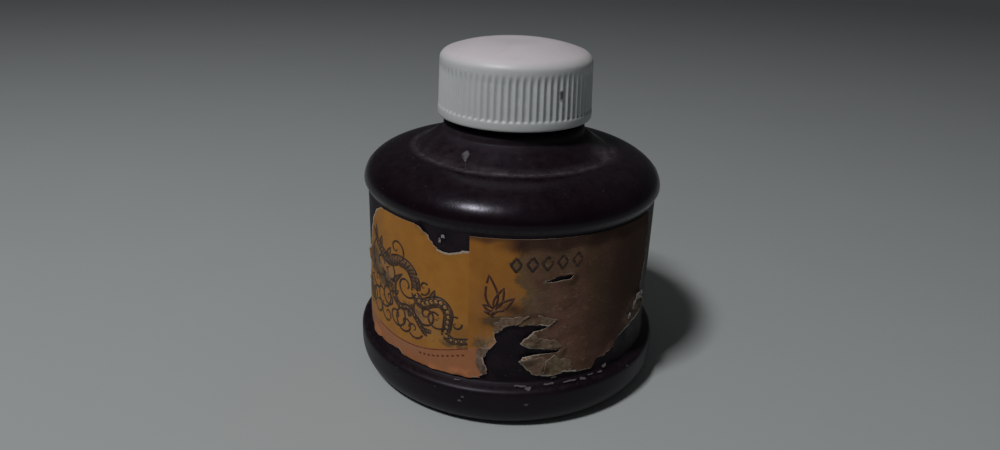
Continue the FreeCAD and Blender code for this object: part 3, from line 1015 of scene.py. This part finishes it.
def right_marks(s, z):
    # A painted shadow of the shoulder along the top, a broad patch of painted shade on the right, and
    # stains.
    stain = smoothstep(33.0, 34.7, z + 0.35 * np.sin(s * 0.9)) * smoothstep(across(-8), across(5), s)
    stain = most(stain, 0.8 * smoothstep(34.8, 35.9, z + 0.2 * np.sin(s * 1.3)),
                 blobs(s, z, (0.45, 46, 22, 9, 12), (0.95, 2, 23.2, 2.6, 1.3),
                       (0.8, 8.5, 21.8, 2.6, 0.8), (0.55, -4.5, 20.6, 3.2, 1.5)))
    pale = blobs(s, z, (1, 10, 16.6, 3.4, 1.9), (1, 12, 12, 4.4, 2.4), (1, -6, 16.2, 2.2, 2.2),
                 (1, 57, 17.5, 3.4, 3.2), (0.45, 2, 23, 6, 4))
    # The second mark is painted shade, darkening the right end away from the light.
    return stain, smoothstep(across(20), across(56), s), pale


def flap_zones(s, z):
    return 0.9, 0


def flap_marks(s, z):
    return 0, 0, 0.85


def back_zones(s, z):
    deep = np.stack([s, z * 1.4, np.full_like(s, 2.0)], 1)
    worn = most(0.85 * smoothstep(-0.05, 0.55, grain(deep, 11.0, 4.0, 4)),
                0.8 * smoothstep(across(8), across(40), s + 2.5 * grain(deep, 6.0, 8.0, 3)))
    return worn, 1 - smoothstep(12.4, 12.8, z)


def back_marks(s, z):
    return 0.3 * blob(s, z, 20, 20, 9, 6), 0.3, 0.6 * blob(s, z, -30, 20, 10, 8)


def creased(s, z):
    """A short upright fold near the left end."""
    return 0.16 * hump(s - across(-53.5), 0.22) * smoothstep(31.5, 33.0, z)


def over_the_seam(s, z):
    """The right piece rides over the end of the left one, then settles back on the panel."""
    step = PAPER * 1.15 * (1 - smoothstep(across(-9.5), across(-6.5), s))
    flap = 0.55 * blob(s, z, 7, 17.0, 2.0, 1.5) + 0.7 * blob(s, z, 6.5, 13.6, 1.8, 0.8)
    corner = 1.1 * blob(s, z, 58.5, 18.6, 2.3, 2.0) + 0.6 * blob(s, z, 52.5, 15.6, 1.4, 1.4)
    return step + flap + corner


def make_label():
    """The three pieces of the label and the layers peeled from them. Returns the two in front."""
    bright = paper_material("label_bright", (0.46, 0.203, 0.032), (0.395, 0.16, 0.024))
    worn = paper_material("label_worn", (0.41, 0.17, 0.029), (0.345, 0.134, 0.022))
    left = Paper("label_left_paper", LEFT_OUTLINE, seed=2.0, lift=creased)
    right = Paper("label_right_paper", RIGHT_OUTLINE, [SLASH], seed=5.0, lift=over_the_seam)
    back = Paper("label_back_paper", BACK_OUTLINE, facing=180.0, seed=9.0)
    peeled = paper_material("label_peeled", (0.32, 0.21, 0.13), (0.22, 0.13, 0.09))
    for number, outline in enumerate(FLAPS):
        flap = Paper("label_flap_%d" % (number + 1), outline, seed=11.0 + number,
                     lift=lambda s, z: 0.15 + over_the_seam(s, z), spacing=FLAP_GRID)
        flap.build(peeled, "label_worn", None, flap_zones, flap_marks)
    left.build(bright, "label_bright", "label_left", left_zones, left_marks)
    right.build(worn, "label_worn", "label_right", right_zones, right_marks)
    back.build(worn, "label_worn", "label_back", back_zones, back_marks)
    return left, right


# ---- printing

def on_label(points):
    """(distance round, height) of some (degrees, height) points."""
    return np.array([(across(degrees), z) for degrees, z in points])


def curve(points, step=0.25):
    """A smooth line through (degrees, height) points, as close (distance round, height) points."""
    knots = on_label(points)
    knots = np.vstack([2 * knots[0] - knots[1], knots, 2 * knots[-1] - knots[-2]])
    line = []
    for before, start, end, after in zip(knots, knots[1:], knots[2:], knots[3:]):
        t = np.linspace(0, 1, 12, endpoint=False)[:, None]
        line.append(0.5 * (2 * start + (end - before) * t
                           + (2 * before - 5 * start + 4 * end - after) * t ** 2
                           + (3 * start - before - 3 * end + after) * t ** 3))
    return evenly(np.vstack(line + [knots[-2:-1]]), step)


def beside(line, offset):
    """The line moved sideways by an offset, which may change along it."""
    along = np.gradient(line, axis=0)
    along /= np.maximum(np.hypot(*along.T), 1e-9)[:, None]
    return line + np.stack([along[:, 1], -along[:, 0]], 1) * np.reshape(offset, (-1, 1))


def circle(angles):
    """Points on a circle of radius 1."""
    return np.stack([np.cos(angles), np.sin(angles)], 1)


class Print:
    """Strokes of ink that lie on one piece of the label, with parts of them worn away."""

    def __init__(self, name, paper, right_of=-180.0, left_of=180.0, wear=0.35, layer=0):
        self.name = name
        self.paper = paper
        self.above = INK_GAP * (1 + layer)
        self.limits = across(right_of), across(left_of)
        self.wear = wear
        self.points = []
        self.faces = []

    def stroke(self, line, width, taper=1.0):
        """A line of ink. taper is the length, in millimetres, over which its ends thin out."""
        along = lengths_along(line)
        ends = smoothstep(0, taper, along) * smoothstep(0, taper, along[-1] - along)
        half = width / 2 * (0.35 + 0.65 * ends)
        first = sum(len(p) for p in self.points)
        count = len(line)
        self.points += [beside(line, half), beside(line, -half)]
        self.faces += [(i, i + 1, count + i + 1, count + i) for i in range(first, first + count - 1)]

    def ring(self, centre, radius, width):
        line = np.array(centre) + radius * circle(np.linspace(0, 2 * math.pi, 10))
        self.stroke(line, width, taper=0.01)

    def tendril(self, start, centre, turns):
        """A line that leaves its start and winds in to its centre, both (degrees, height)."""
        begin, middle = on_label([start, centre])
        reach = begin - middle
        t = np.linspace(0, 1, int(abs(turns) * 26))
        turn = math.atan2(reach[1], reach[0]) + 2 * math.pi * turns * t
        r = np.hypot(*reach) * (0.1 + 0.9 * (1 - t) ** 1.5)
        self.stroke(middle + r[:, None] * circle(turn), 0.4, taper=1.6)

    def petal(self, base, tip, bulge, width):
        """A pointed leaf outline from its base to its tip, both (degrees, height)."""
        start, end = on_label([base, tip])
        t = np.linspace(0, 1, 24)
        middle = start + (end - start) * t[:, None]
        swell = bulge * np.sin(math.pi * t ** 0.75) * (1 - 0.35 * t)
        self.stroke(beside(middle, swell), width)
        self.stroke(beside(middle, -swell), width)

    def lozenge(self, degrees, z, wide, tall, width):
        corners = [(wide, 0), (0, tall), (-wide, 0), (0, -tall), (wide, 0)]
        line = np.array(corners) / 2 + (across(degrees), z)
        self.stroke(evenly(line, 0.15), width, taper=0.01)

    def build(self, material, slot):
        paper = self.paper
        flat = np.vstack(self.points)
        centres = middles(flat, self.faces)
        deep = np.c_[centres, np.full(len(centres), 3.0)]
        keep = inside_outline(centres, paper.rim) & (nearest(centres, paper.torn)[1] > UNPRINTED)
        for hole in paper.holes:
            keep &= ~inside_outline(centres, hole)
        keep &= (centres[:, 0] > self.limits[0]) & (centres[:, 0] < self.limits[1])
        keep &= grain(deep, 1.7, paper.seed + 7, 4) < 1 - 2 * self.wear
        flat, faces = kept_part(flat, self.faces, keep)
        lift = paper.lift(flat) + self.above
        vertices, faces = paper.sheet(flat, faces, lift, lift + INK_THICK)
        piece = make_object(self.name, vertices, faces, material)
        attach(piece, "bottle")


# The printed ornament: a beaded cord that winds across the left piece, a thinner branch below it,
# and tendrils and leaves beside them. Points are degrees round and height.
CORD = [
    (-63.5, 31.2), (-58.5, 28.5), (-51, 27.0), (-44, 27.9), (-38.4, 27.4), (-35.3, 25.1),
    (-35.0, 22.7), (-32.3, 21.3), (-28, 22.3), (-24.2, 22.6), (-21.3, 21.0), (-21.6, 18.4),
    (-22.2, 16.6), (-19.4, 15.7), (-15.0, 16.0), (-9.5, 16.6),
]
BRANCH = [
    (-42, 25.6), (-46.5, 23.6), (-47.6, 20.9), (-43.8, 19.0), (-39.2, 19.4), (-35.6, 18.2),
    (-32.6, 16.4), (-28.2, 16.2),
]
TENDRILS = [  # where it leaves the cord, its centre, and its turns
    ((-60.5, 29.2), (-57.5, 25.2), 1.5), ((-55.0, 27.6), (-52.2, 24.2), -1.4),
    ((-62.5, 24.4), (-61.0, 21.2), 1.5), ((-50.0, 25.6), (-48.8, 22.6), 1.4),
    ((-57.0, 23.0), (-56.2, 19.0), -1.5), ((-47.4, 21.4), (-50.8, 19.2), 1.6),
    ((-55.5, 17.6), (-52.5, 15.6), 1.3), ((-46.6, 19.8), (-46.2, 16.6), -1.6),
    ((-41.8, 19.0), (-41.0, 16.0), 1.5), ((-37.4, 18.6), (-36.6, 15.6), -1.5),
    ((-34.2, 22.0), (-30.6, 19.4), 1.6), ((-36.4, 26.2), (-40.2, 23.6), -1.6),
    ((-24.0, 22.4), (-26.4, 19.4), -1.5), ((-35.0, 24.0), (-31.4, 24.8), 1.3),
    ((-21.4, 20.0), (-18.2, 19.0), -1.2), ((-66.0, 21.0), (-65.4, 17.6), 1.4),
    ((-60.0, 19.6), (-60.2, 16.2), 1.4), ((-43.0, 27.8), (-45.4, 30.0), 1.2),
]
LEAVES = [  # base, tip, and how far it swells
    ((-52.0, 27.2), (-49.0, 29.6), 0.55), ((-57.0, 28.2), (-55.6, 30.8), 0.55),
    ((-47.6, 20.6), (-44.4, 21.8), 0.45), ((-33.0, 16.6), (-30.0, 14.9), 0.45),
    ((-28.4, 22.4), (-26.6, 24.8), 0.5), ((-60.4, 29.4), (-60.6, 32.2), 0.45),
    ((-39.0, 17.6), (-37.0, 20.6), 0.5), ((-30.2, 21.8), (-32.6, 20.0), 0.4),
]


def cord_half_width(line, widest):
    """Half the cord's width along its line: thin at its start, and thinner towards its tail."""
    along = lengths_along(line)
    return widest * smoothstep(-1, 5, along) * (0.5 + 0.5 * smoothstep(0, 15, along[-1] - along))


def print_cord(tint, ink, beads, line, widest):
    """A tinted band with dark edges, strands across its first half and beads down the rest."""
    half = cord_half_width(line, widest)
    edges = beside(line, half), beside(line, -half)
    tint.stroke(line, 1.9 * half, taper=0.01)
    for edge in edges:
        ink.stroke(evenly(edge, 0.25), 0.36)
    strand = 3
    for i in range(2, len(line) // 2 - strand, 3):
        slant = np.linspace(0, 1, 6)[:, None]
        start, end = edges[0][i], edges[1][i + strand]
        ink.stroke(start + (end - start) * slant, 0.24, taper=0.3)
    for i in range(len(line) // 2, len(line) - 2, 4):
        ink.ring(line[i], 0.62 * half[i], 0.24)
        beads.ring(line[i], 0.24 * half[i], 0.3 * half[i])


def print_left(left):
    under = SEAM_DEG - 0.4
    tint = Print("label_left_tint", left, left_of=under, wear=0.26)
    ink = Print("label_left_print", left, left_of=under, wear=0.22, layer=1)
    beads = Print("label_left_beads", left, left_of=under, wear=0.25, layer=1)
    print_cord(tint, ink, beads, curve(CORD), 0.95)
    print_cord(tint, ink, beads, curve(BRANCH), 0.62)
    for start, centre, turns in TENDRILS:
        ink.tendril(start, centre, turns)
    for base, tip, swell in LEAVES:
        ink.petal(base, tip, swell, width=0.34)
        tint.stroke(curve([base, tip]), 0.9 * swell)
    dark = print_material("print_dark", (0.03, 0.014, 0.008), (0.17, 0.075, 0.024))
    tint.build(print_material("print_tint", (0.115, 0.058, 0.026), (0.24, 0.12, 0.045)), "label_bright")
    ink.build(dark, "label_bright")
    beads.build(print_material("print_beads", (0.36, 0.19, 0.06), (0.3, 0.16, 0.07)), "label_bright")
    rule = Print("label_left_rule", left, left_of=under, wear=0.22)
    rule.stroke(curve([(degrees, z - 0.05) for degrees, z in BORDER[1:5]]), 0.22)
    for degrees in np.arange(-34, -14.5, 2.0):
        z = border_height(across(degrees)) - 1.35
        rule.stroke(curve([(degrees, z), (degrees + 1.15, z + 0.12)], 0.2), 0.46, taper=0.2)
    rule.build(print_material("print_red", (0.15, 0.03, 0.012), (0.34, 0.12, 0.045)), "label_bright")


def print_right(right):
    bud = Print("label_bud_print", right, right_of=SEAM_DEG + 0.3, wear=0.22)
    bud.petal((-4.8, 23.4), (-6.6, 29.6), 1.2, width=0.38)
    bud.petal((-4.2, 23.2), (-1.2, 27.3), 0.8, width=0.38)
    bud.petal((-3.8, 22.8), (2.6, 25.4), 0.75, width=0.42)
    bud.petal((-5.0, 22.9), (-8.6, 23.9), 0.45, width=0.42)
    bud.stroke(curve([(-8.0, 22.6), (-5.6, 22.3), (-3.0, 22.7)]), 0.8)
    bud.stroke(curve([(-4.8, 23.4), (-5.6, 22.2), (-4.6, 21.4)]), 0.7)
    bud.build(print_material("print_bud", (0.042, 0.011, 0.005), (0.16, 0.055, 0.018)), "label_worn")
    row = Print("label_row_print", right, wear=0.2)
    for i, degrees in enumerate((2.6, 8.2, 13.4, 18.8, 24.4)):
        row.lozenge(degrees, 31.5 + 0.12 * i, 1.8, 2.6, width=0.44)
    row.build(print_material("print_row", (0.022, 0.008, 0.004), (0.09, 0.04, 0.022)), "label_worn")


# ---- scraps of paper, and a drip

# Scraps left on the bottle: degrees round, radius, height, slope of the wall there, length, width.
UPRIGHT, SLOPING, LEVEL = 0, 45, 80  # degrees that the wall leans back
SCRAPS = [
    (-17, 28.55, 8.34, LEVEL, 1.5, 0.35), (-14, 29.98, 6.1, UPRIGHT, 0.7, 0.45),
    (-15, 29.98, 5.2, UPRIGHT, 0.9, 0.4), (5.5, 28.7, 8.34, LEVEL, 2.6, 0.6),
    (8.2, 29.2, 8.2, SLOPING, 1.3, 0.8), (7.6, 29.93, 5.4, UPRIGHT, 0.9, 0.5),
    (16, 28.6, 8.34, LEVEL, 2.2, 0.5), (18, 28.0, 9.3, UPRIGHT, 1.2, 0.5),
    (24, 28.75, 8.34, LEVEL, 3.0, 0.45), (29, 28.9, 8.3, LEVEL, 1.4, 0.8),
    (33, 28.5, 8.36, LEVEL, 1.4, 0.35), (37, 28.75, 8.34, LEVEL, 1.3, 0.5),
    (40, 28.2, 8.9, SLOPING, 1.2, 0.7), (50, 29.7, 7.35, UPRIGHT, 0.9, 0.5),
    (-23.2, 28.05, 35.3, UPRIGHT, 0.8, 0.7), (-24.5, 27.95, 34.4, UPRIGHT, 0.5, 0.9),
    (58, 28.7, 20.3, UPRIGHT, 3.0, 2.1), (55, 28.6, 18.9, UPRIGHT, 1.3, 1.8),
    (52.5, 28.4, 17.1, UPRIGHT, 0.9, 1.0),
    (130, 28.6, 8.34, LEVEL, 2.2, 0.5), (152, 28.05, 12.0, UPRIGHT, 2.4, 1.6),
    (-118, 28.05, 14.0, UPRIGHT, 2.0, 1.0), (-104, 28.6, 8.34, LEVEL, 2.6, 0.5),
    (215, 28.7, 8.34, LEVEL, 1.8, 0.6), (98, 28.05, 29.0, UPRIGHT, 1.8, 1.1),
]
SCRAP_THICK = 0.07


def make_scraps():
    """Bits of torn paper stuck to the heel and the bare panel."""
    vertices, faces = [], []
    columns, rows = 11, 6
    quads = [(i * rows + j, (i + 1) * rows + j, (i + 1) * rows + j + 1, i * rows + j + 1)
             for i in range(columns - 1) for j in range(rows - 1)]
    u, v = np.meshgrid(np.linspace(-1, 1, columns), np.linspace(-1, 1, rows), indexing="ij")
    u, v = u.ravel(), v.ravel()
    shrink = np.sqrt(1 - 0.42 * most(u ** 2, v ** 2))
    for number, (degrees, r, z, slope, length, width) in enumerate(SCRAPS):
        seeds = np.stack([u * 1.3, v * 1.3, np.full(u.size, number * 3.7)], 1)
        uneven = grain(seeds, 0.8, number + 0.5, 4)
        x = u * length / 2 * shrink * (1 + 0.35 * uneven)
        y = v * width / 2 * shrink * (1 - 0.45 * uneven) + 0.12 * width * np.sin(3 * u + number)
        curl = 0.02 + 0.16 * smoothstep(0.2, 0.9, uneven + 0.35 * u * (-1) ** number)
        a = math.radians(degrees) + x / r
        cos_tilt, sin_tilt = math.cos(math.radians(slope)), math.sin(math.radians(slope))
        top, under = (from_front(r + lift * cos_tilt - y * sin_tilt, a, z + lift * sin_tilt + y * cos_tilt)
                      for lift in (curl + SCRAP_THICK, curl))
        points, closed = thick_sheet(top, under, quads)
        first = sum(len(p) for p in vertices)
        vertices.append(points)
        faces += [tuple(i + first for i in f) for f in closed]
    points = np.vstack(vertices)
    zones = smoothstep(BASE_TOP_Z + 1, BASE_TOP_Z + 4, points[:, 2])[:, None]
    piece = make_object("paper_scraps", points, faces, scrap_material(), {"zones": zones}, sharp=60)
    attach(piece, "bottle")


# A flat nub of dried ink on the cone of the shoulder, and the run from it into the crease.
DRIP = [  # (degrees, radius, height, half width, paleness)
    (-31.4, 15.25, 46.35, 0.75, 1.0),
    (-31.0, 15.9, 45.95, 1.05, 1.0),
    (-29.8, 16.6, 45.5, 0.7, 0.7),
    (-28.2, 17.3, 45.02, 0.26, 0.0),
    (-26.4, 18.1, 44.5, 0.22, 0.0),
    (-25.4, 18.75, 44.05, 0.26, 0.0),
    (-25.0, 19.3, 43.95, 0.16, 0.3),
]
DRIP_FLATNESS = 0.35  # height of the ridge as a share of its half width


def unit(vectors):
    return vectors / np.linalg.norm(vectors, axis=1)[:, None]


def make_drip():
    """Dried ink that ran down the shoulder, as a low rounded ridge with closed ends."""
    sides, rings = 12, 56
    degrees, r, z, half, pale = np.array(DRIP).T
    points = np.c_[from_front(r, np.radians(degrees), z), half, pale]
    table = resampled(points, lengths_along(points[:, :3]), rings)
    path, half, pale = table[:, :3], table[:, 3], table[:, 4]
    forward = unit(np.gradient(path, axis=0))
    outward = np.c_[path[:, :2] * 0.55, np.full(rings, 16.0)]
    outward = unit(outward - (outward * forward).sum(1)[:, None] * forward)
    sideways = np.cross(forward, outward)
    i, k = np.meshgrid(np.arange(rings), np.arange(sides), indexing="ij")
    turn = 2 * math.pi * k / sides
    swell = half[i] * np.sin(math.pi * (i + 0.5) / rings) ** 0.5
    swell = swell * (1 + 0.1 * np.sin(0.7 * i + k) + 0.06 * np.sin(1.9 * i - k))
    ring = np.cos(turn)[..., None] * sideways[i] + DRIP_FLATNESS * np.sin(turn)[..., None] * outward[i]
    vertices = (path[i] + swell[..., None] * ring).reshape(-1, 3)
    faces = [(i * sides + k, i * sides + (k + 1) % sides, (i + 1) * sides + (k + 1) % sides,
              (i + 1) * sides + k) for i in range(rings - 1) for k in range(sides)]
    faces.append(tuple(range(sides - 1, -1, -1)))
    faces.append(tuple(range((rings - 1) * sides, rings * sides)))
    zones = np.repeat(pale, sides)[:, None]
    piece = make_object("dried_ink_run", vertices, faces, dried_ink_material(), {"zones": zones})
    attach(piece, "bottle")


# ---- stage, light and camera

FLOOR_FLAT = 900.0
SWEEP = 1100.0


def make_floor():
    """A pale studio floor that sweeps up all round, far outside the picture."""
    outline = Profile(0, 0).line(FLOOR_FLAT, 0)
    outline.quarter((FLOOR_FLAT + SWEEP, 0), (FLOOR_FLAT + SWEEP, SWEEP))
    vertices, faces = lathe(np.array(outline.points), once_round(96))
    floor = make_object("studio_floor", vertices, faces, floor_material())
    floor.location.z = -0.05 * MM


def area_light(name, azimuth, elevation, distance, size, power, colour):
    """A soft square light, placed round the bottle by angles in degrees and metres."""
    data = bpy.data.lights.new(name, "AREA")
    data.size = size
    data.energy = power
    data.color = colour
    light = in_scene(bpy.data.objects.new(name, data))
    a, e = math.radians(azimuth), math.radians(elevation)
    light.location = (distance * math.sin(a) * math.cos(e), -distance * math.cos(a) * math.cos(e),
                      distance * math.sin(e))
    direction = Vector((0, 0, 0.03)) - light.location
    light.rotation_euler = direction.to_track_quat("-Z", "Y").to_euler()


def make_lights():
    area_light("key", azimuth=-38, elevation=58, distance=0.62, size=0.085, power=1.9,
               colour=(1.0, 0.975, 0.99))
    area_light("front", azimuth=20, elevation=35, distance=0.9, size=0.5, power=0.05,
               colour=(0.86, 1.0, 0.95))
    world = bpy.data.worlds.new("studio")
    world.use_nodes = True
    background = world.node_tree.nodes["Background"].inputs
    background["Color"].default_value = (0.045, 0.046, 0.047, 1)
    background["Strength"].default_value = 1.0
    bpy.context.scene.world = world
    bpy.context.scene.view_settings.view_transform = "Standard"


# The camera stands close, a little over two bottle heights away, looking down and rolled slightly.
CAMERA_DISTANCE = 140.6
CAMERA_HEIGHT = 84.9
CAMERA_PITCH = 0.39
CAMERA_YAW = -0.0145
CAMERA_ROLL = 0.0324
LENS = 27.2
SENSOR = 36.0


def make_camera():
    data = bpy.data.cameras.new("camera")
    data.sensor_width = SENSOR
    data.lens = LENS
    data.clip_start = 0.005
    camera = in_scene(bpy.data.objects.new("camera", data))
    cos_pitch, sin_pitch = math.cos(CAMERA_PITCH), math.sin(CAMERA_PITCH)
    forward = Vector((math.sin(CAMERA_YAW) * cos_pitch, math.cos(CAMERA_YAW) * cos_pitch, -sin_pitch))
    level = Vector((math.cos(CAMERA_YAW), -math.sin(CAMERA_YAW), 0))
    upward = level.cross(forward)
    right = math.cos(CAMERA_ROLL) * level + math.sin(CAMERA_ROLL) * upward
    up = math.cos(CAMERA_ROLL) * upward - math.sin(CAMERA_ROLL) * level
    turn = Matrix((right, up, -forward)).transposed().to_4x4()
    camera.matrix_world = Matrix.Translation((0, -CAMERA_DISTANCE * MM, CAMERA_HEIGHT * MM)) @ turn
    bpy.context.scene.camera = camera


make_camera()
make_lights()
make_floor()
make_bottle()
make_cap()
make_liner()
make_ink()
left_label, right_label = make_label()
print_left(left_label)
print_right(right_label)
make_scraps()
make_drip()
